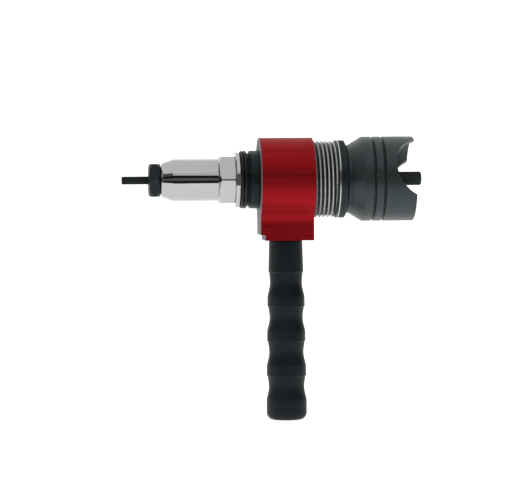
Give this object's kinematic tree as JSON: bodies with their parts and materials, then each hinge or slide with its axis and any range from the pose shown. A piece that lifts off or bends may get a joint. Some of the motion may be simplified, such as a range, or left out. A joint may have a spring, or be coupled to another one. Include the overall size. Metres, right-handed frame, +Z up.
{
  "type": "rivet nut hand tool",
  "caption": "Hand riveter for blind rivet nuts: chromed nose with anvil and mandrel, red housing on a finger-grooved grip, coarse-thread pull sleeve, notched cup and hexagonal drive shank.",
  "frame": {"origin": "centre of the mandrel's front end face, on the draw axis", "axes": "+X along the draw axis from the mandrel's tip to the drive shank, +Z up with the handle hanging along -Z, +Y to the side that the grub screw is on"},
  "size_m": [0.2203, 0.062, 0.2074],
  "materials": {
    "red_anodised": "satin red anodised, brushed lengthwise",
    "black_steel": "black oxide, satin",
    "chromed_steel": "polished chrome",
    "bright_steel": "ground",
    "bronze": "plain bearing bronze",
    "cup_plastic": "fine matt grain",
    "grip_rubber": "matt moulded rubber",
    "seal_rubber": "smooth rubber"
  },
  "bodies": {
    "frame": {"housing": "red_anodised", "nose_collar": "black_steel", "collar_nut": "black_steel", "collar_grub_screw": "black_steel", "front_bush": "bronze", "nose_seal_ring": "seal_rubber", "nose_sleeve": "chromed_steel", "nose_lock_ring": "chromed_steel", "anvil": "black_steel", "handle_stud": "bright_steel", "handle_core": "bright_steel", "handle_grip": "grip_rubber"},
    "carrier": {"ball_cage": "bronze", "bearing_ball_1": "bright_steel", "bearing_ball_2": "bright_steel", "bearing_ball_3": "bright_steel", "bearing_ball_4": "bright_steel", "bearing_ball_5": "bright_steel", "bearing_ball_6": "bright_steel", "bearing_ball_7": "bright_steel", "bearing_ball_8": "bright_steel", "bearing_ball_9": "bright_steel", "bearing_ball_10": "bright_steel"},
    "pull_unit": {"pull_sleeve": "black_steel", "knurled_ring": "black_steel", "sleeve_bush": "bronze", "thrust_washer_front": "bright_steel", "bearing_cap": "black_steel", "rear_bush": "bronze", "cup": "cup_plastic", "cup_screw_1": "black_steel", "cup_screw_2": "black_steel", "cup_screw_3": "black_steel", "cup_screw_4": "black_steel"},
    "spindle_unit": {"drive_spindle": "black_steel", "thrust_washer_rear": "bright_steel", "wave_washer": "bright_steel", "mandrel_chuck": "bright_steel", "chuck_pin": "bright_steel", "chuck_cap": "bright_steel", "mandrel": "black_steel"}
  },
  "joints": [
    {"name": "pull_travel", "type": "slide", "parent": "frame", "child": "carrier", "axis": [1, 0, 0], "range_m": [-0.0121, 0.0031]},
    {"name": "pull_turn", "type": "hinge", "parent": "carrier", "child": "pull_unit", "pos_m": [0.15, 0, 0], "axis": [1, 0, 0], "range_deg": [-1440, 360]},
    {"name": "spindle_spin", "type": "hinge", "parent": "carrier", "child": "spindle_unit", "pos_m": [0.15, 0, 0], "axis": [1, 0, 0], "continuous": true}
  ],
  "couplings": [
    {"joint": "pull_travel", "follows": "pull_turn", "m_per_rad": 0.00047746}
  ]
}
